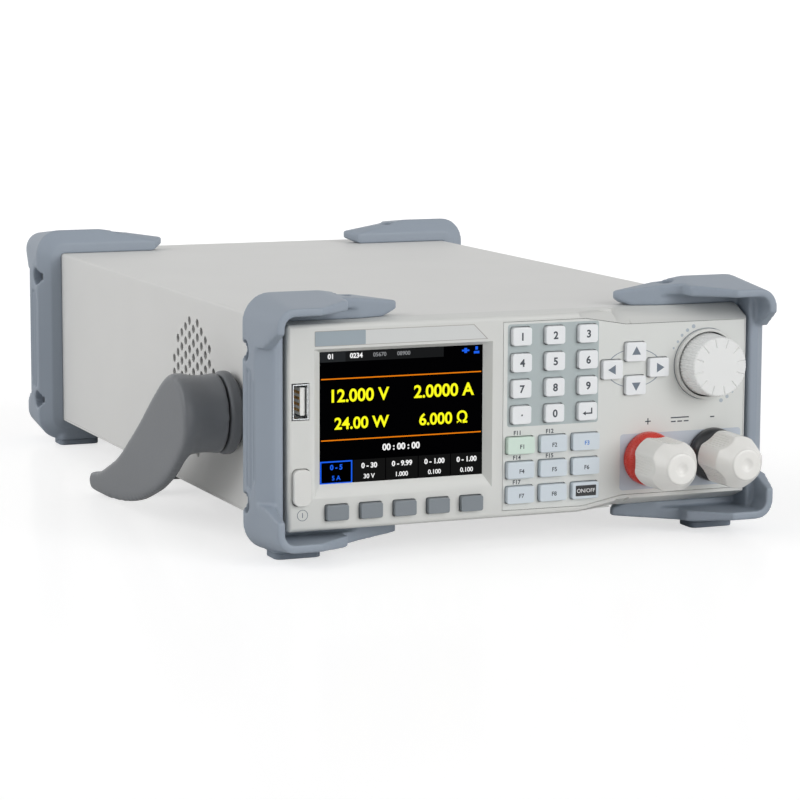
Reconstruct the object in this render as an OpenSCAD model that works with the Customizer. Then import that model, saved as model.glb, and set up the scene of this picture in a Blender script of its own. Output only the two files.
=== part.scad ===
// Bench DC electronic load with corner bumpers, a swinging bail and screw-down input posts.
// Millimetres, +Z up, front panel facing -Y; the origin is the bottom centre of the bounding box.

/* [Case] */
// Width of the sheet-metal case
case_width = 204; // [202:1:216]
// Height of the sheet-metal case
case_height = 82.4; // [82:0.2:90]
// Front panel face to rear panel face
case_depth = 344; // [300:1:420]
// Height of the case underside above the bench
ground_gap = 12.8; // [12.6:0.1:15]
// Sheet-metal thickness
sheet = 1.2; // [0.8:0.1:1.5]

/* [Front panel] */
// Thickness of the moulded front wall
wall = 3; // [2.6:0.1:3.4]
// Depth of the moulded front frame
bezel_depth = 16; // [14:1:20]
// Thickness of the frame's side walls
skirt = 1.3; // [1:0.1:1.4]
// Rounding of the frame's front edge
front_r = 1.8; // [1:0.1:2]
// Thickness of the overlay on the right half
overlay_t = 0.8; // [0.5:0.1:1]
// Display active area, width
lcd_w = 70.08; // [66:0.5:71]
// Display active area, height
lcd_h = 52.56; // [48:0.5:53]

/* [Keys] */
// Play round each key in its opening
key_gap = 0.3; // [0.2:0.05:0.4]
// Key travel
key_travel = 1; // [0.6:0.1:1.1]
// How far a key stands out of the panel
key_proud = 2.2; // [1.4:0.1:2.6]
// Number key width
num_w = 8.5; // [7.5:0.1:9]
// Number key height
num_h = 7.4; // [6.4:0.1:7.8]
// Function key width
fn_w = 12; // [10:0.1:12.2]
// Function key height
fn_h = 6.9; // [5.8:0.1:7.2]
// Arrow key width
arrow_w = 9; // [7.5:0.1:9.4]
// Arrow key height
arrow_h = 7.8; // [6.5:0.1:8]
// Soft key width
soft_w = 9.4; // [8:0.1:10.5]
// Soft key height
soft_h = 6.2; // [5.2:0.1:6.6]

/* [Knob and posts] */
// Knob diameter at its base
knob_d = 26; // [22:0.5:26.6]
// Knob length in front of the panel
knob_len = 12.3; // [9:0.1:16]
// Distance between the two input posts
post_pitch = 30; // [27:0.5:31]
// Post collar diameter
collar_d = 22.4; // [18:0.2:23]
// Number of grip flutes on the knob
flutes = 60; // [40:1:66]
// Clamp nut diameter
nut_d = 22; // [19:0.2:23]
// Depth of the clamp nut's four grip scoops
scoop = 1.5; // [1:0.1:2]
// Clamp nut length
nut_len = 21.9; // [18:0.1:26]
// Threaded stud diameter
stud_d = 8; // [6:0.5:8]

/* [Bumpers] */
// How far a bumper stands out beside the case
bumper_side = 11.4; // [9:0.1:13]
// How far a bumper stands over the case
bumper_over = 11.2; // [9:0.1:14]
// Bumper length along the case, from the panel face
bumper_len = 25.5; // [25:0.5:32]
// Rounding of the bumper's outer corners
bumper_r = 11.5; // [9:0.1:12]
// How far the bumper's rim stands in front of the panel
rim_proud = 10.5; // [6:0.1:14]
// Thickness of the rim
rim_wall = 3.2; // [2.4:0.1:4]
// Reach of the rim along the panel edge
rim_reach = 26; // [20:0.2:32]
// Reach of a bumper arm along the panel edge
arm_reach = 53; // [46:0.5:62]
// Foot height
foot_t = 2.6; // [2:0.1:3.4]

/* [Bail] */
// Bail pivot behind the front panel face
hub_y = 63; // [56:1:80]
// Bail pivot disc diameter
hub_d = 34.4; // [30:0.2:36]
// Width over the bail beyond each case side
bail_out = 27.2; // [25:0.1:32]
// Bail arm thickness
arm_t = 4.7; // [3.5:0.1:6]

/* [Vents and fan] */
// Side vent hole diameter
vent_d = 3.8; // [3:0.1:4.2]
// Side vent pitch
vent_pitch = 6.2; // [5.8:0.1:7]
// Diameter of the side vent field
vent_field = 57; // [45:1:62]
// Fan frame size
fan_size = 60; // [50:1:62]

/* [Hidden] */
$fn = 48;
hw = case_width / 2;
zb = ground_gap;
zt = zb + case_height;
zc = (zb + zt) / 2;
// the controls are laid out round this height
panel_z = zc - 0.6;
collar_len = 6.5;
collar_r = 4;
washer_t = 1.2;
scoop_r = 20;
post_reach = collar_len + washer_t + nut_len + 1;
front_y = -(case_depth + rim_proud - post_reach) / 2;
// left group follows the left edge, right group follows the right edge
lx = 102 - hw;
rx = hw - 102;
lcd_x = -52.4 + lx;
lcd_z = panel_z + 4;
num_x = -2 + rx;
num_z = panel_z + 33.3;
num_px = 14.8;
num_pz = 10.65;
fn_x = -2.1 + rx;
fn_z = panel_z - 11.1;
fn_px = 14.6;
fn_pz = 10.1;
arrow_x = 49.4 + rx;
arrow_z = panel_z + 17.9;
soft_x = -81.6 + lx;
soft_z = panel_z - 33.4;
soft_px = (lcd_w - 12.08) / 4;
power_x = -96.5 + lx;
power_z = panel_z - 22.6;
usb_x = -96.7 + lx;
usb_z = panel_z + 11.4;
knob_x = 82.8 + rx;
knob_z = panel_z + 18.2;
post_x = 71.2 + rx;
post_z = panel_z - 19.9;
board_y = wall + 1 + key_travel + 2.2;
mat_y = wall + 1 + key_travel + 0.2;
rear_y = case_depth;
rear_t = 1.5;
fan_depth = 25;
hub_z = panel_z - 0.9;
pin_r = 8;
fan_x = -hw + 50;
fan_y = rear_y - rear_t;
fan_z = panel_z;
inlet_x = hw - 42;
inlet_z = panel_z - 12;
sink_w = 80;
sink_l = 130;
sink_base = 8;
fin_t = 3;
fin_h = 44;
fin_n = 8;
sink_x = fan_x - sink_w / 2;
sink_y = fan_y - 43.5 - sink_l;
side_screw_y = 18.2;
side_screw_z = 30.4;
top_screw_x = hw - 29.7;
top_screw_y = 18;
power_w = 7.2;
power_h = 14.5;
usb_w = 5.7;
usb_h = 13.1;
usb_flare = 0.45;
usb_tongue_x = 1.2;
usb_tongue_t = 1.8;
encoder_w = 12;
post_neck_r = 6;
foot_w = 19.7;
foot_l = 13;
foot_x = hw - 8.7;
foot_y = 17.5;
bar_y = 112.5;
bar_z = -44;
bar_w = 13.5;
bar_t = 4.4;
// the frame's top edge stands this much higher over the layout than its bottom edge lies below it
top_drop = 1.2;
overlay_gap = 0.2;
edge_r = 1.4;
arrow_dx = 10.6;
arrow_dz = 6.9;
vent_y = 116;
vent_z = panel_z + 2.6;
sink_seat = 8;
inlet_w = 28;
inlet_flange_w = 48;
inlet_flange_h = 26;
rotor_r = 13;
motor_t = 5;
blade_l = 17;
blade_mid = 14;
inlet_h = 21;
hub_t = 7;
grip_y = 14.2;
grip_half = 6.4;
grip_run = 18.1;
grip_depth = 1.3;
// bumper form: rim, ridge and case-side end, each as distances beyond the case
rim_side = 8;
rim_over = 7.6;
rim_under = 6.2;
rim_r = 7.5;
ridge_y = 21;
ridge_reach = 20.4;
end_side = 5.3;
end_over = 4.8;
end_r = 6.5;
tip_over = 6;
post_y = 0.8;
post_gap = 1.4;
cavity_y = 12;

// ground shapes

module at_front() translate([0, front_y, 0]) children();

module rrect(w, h, r) {
  square([w, h - 2 * r], center = true);
  square([w - 2 * r, h], center = true);
  for (x = [-1, 1], z = [-1, 1])
    translate([x * (w / 2 - r), z * (h / 2 - r)]) circle(r = r, $fn = 24);
}

// a drawing in X and Z, made solid from y0 to y1
module xz(y0, y1) translate([0, y1, 0]) rotate([90, 0, 0]) linear_extrude(y1 - y0) children();

// a drawing in Y and Z, made solid from x0 to x1
module yz(x0, x1) translate([x0, 0, 0]) rotate([90, 0, 90]) linear_extrude(x1 - x0) children();

// a round bar along Y
module ycyl(x, z, r, y0, y1) translate([x, y1, z]) rotate([90, 0, 0]) cylinder(r = r, h = y1 - y0);

// a round bar along X
module xcyl(y, z, r, x0, x1) translate([x0, y, z]) rotate([0, 90, 0]) cylinder(r = r, h = x1 - x0);

// front panel

// the outlines of every key opening, grown by g
module key_outlines(g) {
  for (i = [0 : 2], j = [0 : 3])
    translate([num_x + i * num_px, num_z - j * num_pz]) rrect(num_w + 2 * g, num_h + 2 * g, 1.2);
  for (i = [0 : 2], j = [0 : 2])
    translate([fn_x + i * fn_px, fn_z - j * fn_pz]) rrect(fn_w + 2 * g, fn_h + 2 * g, 0.9);
  for (a = [[0, arrow_dz], [0, -arrow_dz], [-arrow_dx, 0], [arrow_dx, 0]])
    translate([arrow_x + a[0], arrow_z + a[1]]) rrect(arrow_w + 2 * g, arrow_h + 2 * g, 0.9);
}

module left_outlines(g) {
  for (i = [0 : 4])
    translate([soft_x + i * soft_px, soft_z]) rrect(soft_w + 2 * g, soft_h + 2 * g, 0.9);
  translate([power_x, power_z]) rrect(power_w + 2 * g, power_h + 2 * g, 2.4);
}

// outline of the inset on the right half, with its slanted shoulders
module overlay_outline(g) {
  low = -case_height / 2;
  high = case_height / 2 - top_drop;
  polygon([[-9.4 - g + rx, low + 3 - g], [26.7 + rx, low + 2.7 - g],
    [44.5 + rx, low + 6.1 - g], [hw - 1.4 + g, low + 6 - g],
    [hw - 1.4 + g, high - 4.6 + g], [45.8 + rx, high - 4.5 + g],
    [27.5 + rx, high - 1.4 + g], [-9.4 - g + rx, high - 1.5 + g]]);
}

// hollow behind the front wall: tall behind the keys, lower behind the bevelled right part
module panel_pocket(g) {
  split = 34.6 + rx - g;
  low = -case_height / 2;
  translate([-hw + skirt + g, low + 2 + g])
    square([split + hw - skirt - g, case_height - 4 - 2 * g]);
  translate([split - 5, low + 5.5 + g])
    square([hw - skirt - g - split + 5, case_height - 11 - top_drop - 2 * g]);
}

// wedge that bevels one stretch of the front edge; drop is how far down the bevel starts
module bevel(x0, x1, drop0, drop1, back) {
  a = atan((drop1 - drop0) / (x1 - x0));
  rise = drop0 * 0.55 + drop1 * 0.45;
  translate([x0, 0, zt - drop0]) rotate([0, a, 0])
    yz(-3, (x1 - x0) / cos(a) + 3) polygon([[-1, -0.4], [back, rise], [back, 30], [-1, 30]]);
}

// quarter-round cut along one edge, with the corner at the drawing's origin
module edge_round(r) difference() {
  translate([-1, -1]) square(r + 1);
  translate([r, r]) circle(r = r);
}

// rounding along the front edges of the frame
module front_rounding() {
  for (s = [0, 1]) translate([0, 0, s * 2 * zc]) mirror([0, 0, s])
    translate([0, 0, zb]) yz(-hw - 1, hw + 1) edge_round(front_r);
  for (s = [0, 1]) mirror([s, 0, 0]) translate([-hw, 0, zb - 1]) linear_extrude(case_height + 2)
    edge_round(front_r);
}

// display window, wider at the front than at the glass
module display_window() translate([lcd_x, 0, lcd_z]) intersection() {
  yz(-lcd_w, lcd_w)
    polygon([[-0.01, -lcd_h / 2 - 5.3], [wall + 0.1, -lcd_h / 2],
      [wall + 0.1, lcd_h / 2], [-0.01, lcd_h / 2 + 1.6]]);
  linear_extrude(2 * lcd_h, center = true)
    polygon([[-lcd_w / 2 - 3.4, -0.01], [-lcd_w / 2, wall + 0.1],
      [lcd_w / 2, wall + 0.1], [lcd_w / 2 + 3.2, -0.01]]);
}

// bosses that carry the circuit board
boss_places = [[-97.2 + lx, 33.5], [-97.2 + lx, -4], [-11.5 + (lx + rx) / 2, 8],
  [67 + rx, -1.5], [97 + rx, 33.5], [97 + rx, 0]];

module front_bezel() color("#D8DAD8") at_front() difference() {
  union() {
    difference() {
      translate([0, 0, zc]) xz(0, bezel_depth) rrect(case_width, case_height, edge_r);
      translate([0, 0, zc]) xz(wall, bezel_depth + 1) panel_pocket(0);
      front_rounding();
      for (s = [0, 1]) translate([0, 0, s * 2 * zc]) mirror([0, 0, s]) {
        e = (1 - s) * top_drop;
        bevel(44.8 + rx, hw + 6, 4.4 + e, 4.4 + e, 11);
        bevel(27.2 + rx, 45 + rx, 1.2 + e, 4.4 + e, 6);
      }
      translate([0, 0, zc]) xz(-1, overlay_t) overlay_outline(overlay_gap);
      display_window();
    }
    for (b = boss_places) ycyl(b[0], panel_z + b[1], 1.4, wall - 0.5, board_y);
    // raised ring round the knob
    difference() {
      ycyl(knob_x, knob_z, knob_d / 2 + 1.75, -2, overlay_t + 0.5);
      ycyl(knob_x, knob_z, knob_d / 2 + 0.6, -3, overlay_t);
    }
  }
  xz(-1, wall + 1) key_outlines(key_gap);
  xz(-1, wall + 1) left_outlines(key_gap);
  xz(-1, wall + 1) translate([usb_x, usb_z])
    square([usb_w + 1.7, usb_h + 1.7], center = true);
  ycyl(knob_x, knob_z, 5, -3, wall + 1);
  for (s = [-1, 1]) ycyl(post_x + s * post_pitch / 2, post_z, post_neck_r, -1, wall + 1);
}

module overlay_panel() color("#DADDDB") at_front() difference() {
  translate([0, 0, zc]) xz(0, overlay_t) overlay_outline(0);
  xz(-1, overlay_t + 1) key_outlines(key_gap);
  ycyl(knob_x, knob_z, knob_d / 2 + 1.75, -1, overlay_t + 1);
  for (s = [-1, 1]) ycyl(post_x + s * post_pitch / 2, post_z, post_neck_r, -1, overlay_t + 1);
}

module display() color("#0A0B0D") at_front() translate([lcd_x, 0, lcd_z])
  xz(wall, board_y) rrect(lcd_w + 6.8, lcd_h + 9, 1);

// a key: cap through the panel, flange of width w + fw and height h + fh behind it
module key(x, z, w, h, r, fw, fh) at_front() translate([x, 0, z]) {
  xz(-key_proud, wall + 0.5) rrect(w, h, r);
  xz(wall, wall + 1) rrect(w + fw, h + fh, r);
}

module num_key(i, j) color("#E4E7EA")
  key(num_x + i * num_px, num_z - j * num_pz, num_w, num_h, 1.2, 1.6, 1.2);
module fn_key(i, j) color("#CBD6DE")
  key(fn_x + i * fn_px, fn_z - j * fn_pz, fn_w, fn_h, 0.9, 1.6, 1.2);
module arrow_key(dx, dz) color("#E4E7EA")
  key(arrow_x + dx, arrow_z + dz, arrow_w, arrow_h, 0.9, 1.2, 1.2);
module soft_key(i) color("#7E868D")
  key(soft_x + i * soft_px, soft_z, soft_w, soft_h, 0.9, 1.6, 1.2);

module key_1() num_key(0, 0);
module key_2() num_key(1, 0);
module key_3() num_key(2, 0);
module key_4() num_key(0, 1);
module key_5() num_key(1, 1);
module key_6() num_key(2, 1);
module key_7() num_key(0, 2);
module key_8() num_key(1, 2);
module key_9() num_key(2, 2);
module key_point() num_key(0, 3);
module key_0() num_key(1, 3);
module key_enter() num_key(2, 3);
module key_up() arrow_key(0, arrow_dz);
module key_down() arrow_key(0, -arrow_dz);
module key_left() arrow_key(-arrow_dx, 0);
module key_right() arrow_key(arrow_dx, 0);
module fn_1() fn_key(0, 0);
module fn_2() fn_key(1, 0);
module fn_3() fn_key(2, 0);
module fn_4() fn_key(0, 1);
module fn_5() fn_key(1, 1);
module fn_6() fn_key(2, 1);
module fn_7() fn_key(0, 2);
module fn_8() fn_key(1, 2);
module fn_9() fn_key(2, 2);
module soft_1() soft_key(0);
module soft_2() soft_key(1);
module soft_3() soft_key(2);
module soft_4() soft_key(3);
module soft_5() soft_key(4);
module power_button() color("#E6E6E3") key(power_x, power_z, power_w, power_h, 2.4, 0.4, 3);

// silicone mat behind the keys, lying on the board
module key_mat() color("#6E7377") at_front() xz(mat_y, board_y) {
  translate([-9.5 + rx, zb + 3.2]) square([43.6, case_height - 6.4]);
  translate([33 + rx, arrow_z - 12]) square([33, 24]);
  translate([-90 + lx, soft_z - 4.4]) square([90 + (rx - lx), 8.6]);
  translate([power_x - 2.7, soft_z - 4.4]) square([7.6, 24]);
}

// circuit board with the rotary encoder soldered on
module front_board() color("#2F6B45") at_front() difference() {
  union() {
    translate([0, 0, zc]) xz(board_y, board_y + 1.6) panel_pocket(1.2);
    translate([knob_x, 0, knob_z]) xz(wall, board_y) square([encoder_w, encoder_w], center = true);
    ycyl(knob_x, knob_z, 4.5, 1, wall + 0.5);
  }
  ycyl(knob_x, knob_z, 3.05, 0, board_y - 0.5);
  for (s = [-1, 1]) ycyl(post_x + s * post_pitch / 2, post_z, 8, board_y - 1, board_y + 3);
  xz(board_y - 1, board_y + 3) translate([usb_x, usb_z]) square([usb_w, usb_h], center = true);
}

// USB-A socket: metal shell with a flared mouth round a plastic tongue
module usb_port() color("#B9BDC0") at_front() translate([usb_x, 0, usb_z]) {
  difference() {
    union() {
      xz(1, 14) square([usb_w, usb_h], center = true);
      usb_funnel(0);
    }
    xz(-1, 12) square([usb_w - 0.8, usb_h - 0.8], center = true);
    translate([0, -0.05, 0]) usb_funnel(-0.8);
  }
  xz(1.2, 13) translate([usb_tongue_x, 0]) square([usb_tongue_t, usb_h - 2.1], center = true);
}

// the flared front of the socket, grown by g
module usb_funnel(g) hull() {
  xz(-0.3, -0.29) square([usb_w + 2 * usb_flare + g, usb_h + 2 * usb_flare + g], center = true);
  xz(1.5, 1.51) square([usb_w + g, usb_h + g], center = true);
}

module adjust_knob() color("#DADCDC") at_front() {
  translate([knob_x, 0, knob_z]) rotate([90, 0, 0]) difference() {
    rotate_extrude($fn = 96)
      polygon([[0, -0.3], [knob_d / 2, -0.3], [knob_d / 2 - 0.8, knob_len - 0.9],
        [knob_d / 2 - 1.6, knob_len], [0, knob_len]]);
    // grip flutes round the skirt
    for (i = [0 : flutes - 1]) rotate(i * 360 / flutes)
      translate([knob_d / 2 + 0.15, 0, 1]) cylinder(r = 0.5, h = knob_len - 2.6, $fn = 12);
  }
  ycyl(knob_x, knob_z, 3, 0, board_y - 1);
}

// input posts

module collar(s) translate([post_x + s * post_pitch / 2, 0, post_z]) difference() {
  union() {
    rotate([90, 0, 0]) rotate_extrude($fn = 72) intersection() {
      union() {
        square([collar_d / 2, collar_len - collar_r]);
        translate([collar_d / 2 - collar_r, collar_len - collar_r]) circle(r = collar_r);
        square([collar_d / 2 - collar_r, collar_len]);
      }
      square([collar_d / 2, collar_len]);
    }
    ycyl(0, 0, post_neck_r, -0.5, wall + 2.5);
  }
  ycyl(0, 0, stud_d / 2, -20, 20);
}
module collar_red() color("#D0382B") at_front() collar(-1);
module collar_black() color("#2A2C30") at_front() collar(1);

module post_studs() color("#B58A3A") at_front()
  for (s = [-1, 1]) ycyl(post_x + s * post_pitch / 2, post_z, stud_d / 2, -post_reach + 5, 22);

module washer(s) at_front() translate([post_x + s * post_pitch / 2, 0, post_z]) difference() {
  ycyl(0, 0, stud_d / 2 + 3.6, -collar_len - washer_t, -collar_len);
  ycyl(0, 0, stud_d / 2 + 0.06, -collar_len - 5, 0);
}
module washer_red() color("#B58A3A") washer(-1);
module washer_black() color("#B58A3A") washer(1);

// clamp nut: a revolved body with a conical shoulder and a raised front disc with a dimple, and four
// concave grip scoops, turned by a, whose arched ends come from cutting the shoulder
module clamp_nut(s, a) color("#E0E0DE") at_front()
  translate([post_x + s * post_pitch / 2, -collar_len - washer_t, post_z]) rotate([90, 0, 0])
    difference() {
      rotate_extrude($fn = 96)
        polygon([[0, 0], [nut_d / 2 - 0.7, 0], [nut_d / 2, 0.7], [nut_d / 2 - 0.2, nut_len - 6],
          [nut_d / 2 - 4, nut_len - 0.4], [nut_d / 2 - 4.5, nut_len],
          [nut_d / 2 - 4.5, nut_len + 0.6], [nut_d / 2 - 4.9, nut_len + 1], [0, nut_len + 1]]);
      for (i = [0 : 3]) rotate(a + i * 90) translate([nut_d / 2 - scoop + scoop_r, 0, -1])
        cylinder(r = scoop_r, h = nut_len + 3, $fn = 128);
      translate([0, 0, -1]) cylinder(r = stud_d / 2 + 0.06, h = nut_len - 2);
      translate([0, 0, nut_len + 4.6]) sphere(r = 4.5, $fn = 48);
    }
module nut_red() clamp_nut(-1, 0);
module nut_black() clamp_nut(1, 35);

// case

module top_cover() color("#CBCCCB") at_front() difference() {
  translate([0, 0, zc]) xz(bezel_depth, rear_y) difference() {
    union() {
      rrect(case_width, case_height, edge_r);
      translate([-hw, -case_height / 2]) square([case_width, case_height / 2]);
    }
    translate([-hw - 1, -case_height / 2 - 1]) square([case_width + 2, sheet + 1]);
    translate([-hw + sheet, -case_height / 2 - 1])
      square([case_width - 2 * sheet, case_height - sheet + 1]);
  }
  // round field of vents, cut through both sides
  for (i = [-6 : 6], j = [-5 : 5]) {
    y = i * vent_pitch * 0.85;
    z = (j + (i % 2 == 0 ? 0 : 0.5)) * vent_pitch;
    if (y * y + z * z < vent_field * vent_field / 4)
      translate([-hw - 1, vent_y + y, vent_z + z]) rotate([0, 90, 0])
        cylinder(d = vent_d, h = case_width + 2, $fn = 20);
  }
  case_corners() bumper_screw_shanks();
}

module base_tray() color("#BFC1C1") at_front() {
  translate([-hw, bezel_depth, zb]) cube([case_width, rear_y - bezel_depth, sheet]);
  // seats for the heat sink
  for (x = [4, sink_w - 12], y = [8, sink_l - 20])
    translate([sink_x + x, sink_y + y, zb]) cube([8, 12, sink_seat]);
}

module rear_panel() color("#C6C8C7") at_front() difference() {
  translate([-hw + sheet, rear_y - rear_t, zb + sheet])
    cube([case_width - 2 * sheet, rear_t, case_height - 2 * sheet]);
  // punched fan grille
  for (i = [-4 : 4], j = [-3 : 3]) {
    x = i * 6.2;
    z = (j + (i % 2 == 0 ? 0 : 0.5)) * 7.2;
    if (x * x + z * z < pow(fan_size / 2 - 4, 2))
      ycyl(fan_x + x, fan_z + z, 2.6, rear_y - 3, rear_y + 1);
  }
  translate([inlet_x, 0, inlet_z]) xz(rear_y - 3, rear_y + 1)
    square([inlet_w, inlet_h], center = true);
}

module heatsink() color("#A9ADB0") at_front() translate([sink_x, sink_y, zb + sink_seat]) {
  cube([sink_w, sink_l, sink_base]);
  for (i = [0 : fin_n - 1])
    translate([i * (sink_w - fin_t) / (fin_n - 1), 0, sink_base - 1]) cube([fin_t, sink_l, fin_h]);
}

module fan_frame() color("#2B2D30") at_front() difference() {
  translate([fan_x, 0, fan_z]) xz(fan_y - fan_depth, fan_y) rrect(fan_size, fan_size, 4);
  ycyl(fan_x, fan_z, fan_size / 2 - 1.5, fan_y - fan_depth - 5, fan_y - 4);
  // the air way past the motor plate and its four arms
  difference() {
    ycyl(fan_x, fan_z, fan_size / 2 - 1.5, fan_y - 5, fan_y + 1);
    ycyl(fan_x, fan_z, 12, fan_y - 6, fan_y + 2);
    for (a = [45 : 90 : 315]) translate([fan_x, 0, fan_z]) rotate([0, a, 0])
      translate([0, fan_y - 6, -2]) cube([fan_size / 2, 8, 4]);
  }
  ycyl(fan_x, fan_z, 2.05, fan_y - fan_depth - 5, fan_y - 1);
}

module fan_rotor() color("#3A3D40") at_front() translate([fan_x, 0, fan_z]) {
  ycyl(0, 0, rotor_r, fan_y - fan_depth + 2, fan_y - motor_t);
  ycyl(0, 0, 2, fan_y - 6, fan_y - 1.5);
  for (a = [0 : 360 / 7 : 359]) rotate([0, a, 0])
    translate([rotor_r - 1, fan_y - blade_mid, 0]) rotate([38, 0, 0])
      translate([0, -blade_l / 2, -0.7]) cube([fan_size / 2 - rotor_r - 2, blade_l, 1.4]);
}

module mains_inlet() color("#1F2123") at_front() translate([inlet_x, 0, inlet_z]) {
  difference() {
    union() {
      xz(rear_y, rear_y + 2.2) rrect(inlet_flange_w, inlet_flange_h, 4);
      xz(rear_y - 18, rear_y + 0.5) square([inlet_w, inlet_h], center = true);
    }
    xz(rear_y - 15, rear_y + 4) square([inlet_w - 4, inlet_h - 4.5], center = true);
  }
  for (b = [[-7, -3], [7, -3], [0, 1.5]]) translate([b[0], 0, b[1]])
    xz(rear_y - 16, rear_y - 1.5) square([2, 4], center = true);
}

// corner bumper, drawn for the front right corner

// one section of the outer form at depth y, standing out beside, over and under the case
module bumper_slice(y, side, over, under, r, reach) xz(y, y + 0.01) {
  translate([hw + side - r, zt + over - r]) circle(r = r, $fn = 32);
  translate([hw + side - r, zb - under + r]) circle(r = r, $fn = 32);
  translate([hw - reach, zb - under]) square([1, case_height + over + under]);
}

// outer form, lofted from the thin rim in front over the ridge to the case-side end
module bumper_form() hull() {
  bumper_slice(-rim_proud, rim_side, rim_over, rim_under, rim_r, rim_reach);
  translate([hw + bumper_side - 1, 8, zb + 10]) cube([1, 1, case_height - 20]);
  bumper_slice(ridge_y, bumper_side, bumper_over, zb - foot_t - 0.3, bumper_r, ridge_reach);
  xz(17.5, 19.5) translate([hw - arm_reach, zb - tip_over]) square([1, case_height + 2 * tip_over]);
  bumper_slice(bumper_len - 0.01, end_side, end_over, end_over, end_r, arm_reach - 5);
}

// what the rim opens: the shallow tray beside the panel and the deeper one over and under the bezel
module rim_cavity() {
  low = zb - rim_under + rim_wall;
  high = zt + rim_over - rim_wall;
  right = hw + rim_side - rim_wall;
  translate([right - 50, 0, (low + high) / 2]) xz(-rim_proud - 1, post_y)
    rrect(100, high - low, rim_r - rim_wall);
  translate([hw + post_gap - 100, -rim_proud - 1, low])
    cube([100, cavity_y + rim_proud + 1, high - low]);
}

// seen from above: the rim's slanted end, and the arm's front edge behind it
module plan_cut() translate([0, 0, -1]) linear_extrude(zt + 30)
  polygon([[hw - 100, -30], [hw - 10.6, -30], [hw - 10.6, -rim_proud], [hw - rim_reach, 1.5],
    [hw - rim_reach, 8], [hw - rim_reach - 9, cavity_y], [hw - arm_reach - 1, 17.5], [hw - 100, 17.5]]);

// the rim stops above and below the middle, where the post's chamfered front shows
module post_cut() {
  upper = zt - 8.9;
  lower = zb + 11.2;
  yz(hw + 1, hw + 30)
    polygon([[-rim_proud - 5, upper + 9.7], [post_y, upper], [post_y, lower], [-rim_proud - 5, lower - 7]]);
  translate([0, 0, lower]) linear_extrude(upper - lower)
    polygon([[hw + 5.4, post_y - 0.1], [hw + bumper_side + 1, 8.2], [hw + bumper_side + 1, post_y - 0.1]]);
}

// grip recess with standing ribs
module grip_recess() difference() {
  translate([0, 0, hub_z]) yz(hw + bumper_side - grip_depth, hw + bumper_side + 3) {
    square_y = 2 * grip_half;
    translate([grip_y - grip_half, -grip_run]) square([square_y, 2 * grip_run]);
    for (s = [-1, 1]) translate([grip_y, s * grip_run]) circle(r = grip_half);
  }
  for (i = [-1 : 1]) translate([hw + bumper_side - grip_depth, grip_y + i * 4, hub_z - grip_run - 5])
    cylinder(r = grip_depth - 0.05, h = 2 * grip_run + 10, $fn = 24);
}

module bumper() difference() {
  union() {
    bumper_form();
    // flat pad over the foot
    translate([foot_x, foot_y, foot_t]) linear_extrude(4) rrect(foot_w + 1.4, foot_l + 1.4, 3.6);
  }
  translate([hw - 100, -rim_proud - 1, zb]) cube([100, bumper_len + rim_proud + 2, case_height]);
  rim_cavity();
  plan_cut();
  post_cut();
  grip_recess();
  // the arm tips lift off the case
  for (s = [0, 1]) translate([0, 0, s * 2 * zc]) mirror([0, 0, s]) xz(cavity_y, bumper_len + 1)
    polygon([[hw - arm_reach - 1, zt - 1], [hw - arm_reach + 9, zt - 1], [hw - arm_reach - 1, zt + 3.2]]);
  for (s = [-1, 1]) xcyl(side_screw_y, panel_z + s * side_screw_z, 4.2, hw + 5, hw + 30);
  translate([top_screw_x, top_screw_y, zt + 4.4]) cylinder(r = 3.7, h = 20);
  bumper_screw_shanks();
}

// the three screws of one corner: shanks into the case, heads in the bumper's wells
module bumper_screw_shanks() {
  for (s = [-1, 1]) xcyl(side_screw_y, panel_z + s * side_screw_z, 1.7, hw - 2, hw + 5.5);
  translate([top_screw_x, top_screw_y, zt - 2]) cylinder(r = 1.7, h = 7);
}

module bumper_screw_heads() {
  for (s = [-1, 1]) xcyl(side_screw_y, panel_z + s * side_screw_z, 3.4, hw + 5, hw + 7.4);
  translate([top_screw_x, top_screw_y, zt + 4.4]) cylinder(r = 3.1, h = 1.8);
}

module bumper_fr() color("#8B95A3") at_front() bumper();
module bumper_fl() color("#8B95A3") at_front() mirror([1, 0, 0]) bumper();
module bumper_rr() color("#8B95A3") at_front() to_rear() bumper();
module bumper_rl() color("#8B95A3") at_front() to_rear() mirror([1, 0, 0]) bumper();

// a front corner's piece, mirrored to the rear
module to_rear() translate([0, case_depth, 0]) mirror([0, 1, 0]) children();

// children placed at all four corners
module case_corners() for (x = [0, 1], y = [0, 1])
  translate([0, y * case_depth, 0]) mirror([0, y, 0]) mirror([x, 0, 0]) children();

module feet() color("#6E7886") at_front() case_corners()
  translate([foot_x, foot_y, 0]) linear_extrude(foot_t) rrect(foot_w, foot_l, 3);

module bumper_screws() color("#8E9296") at_front() case_corners() {
  bumper_screw_shanks();
  bumper_screw_heads();
}

// bail handle

// fixed discs with the pins that the bail turns on
module bail_hubs() color("#3F4144") at_front() for (s = [0, 1]) mirror([s, 0, 0])
  translate([hw, hub_y, hub_z]) rotate([0, 90, 0]) rotate_extrude($fn = 72)
    polygon([[0, 0], [hub_d / 2 - 3.2, 0], [hub_d / 2 - 3.2, 2], [hub_d / 2 - 1, 2],
      [hub_d / 2, 3], [hub_d / 2, 6], [hub_d / 2 - 1, hub_t], [pin_r, hub_t],
      [pin_r, bail_out - arm_t - 3], [0, bail_out - arm_t - 3]]);

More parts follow.
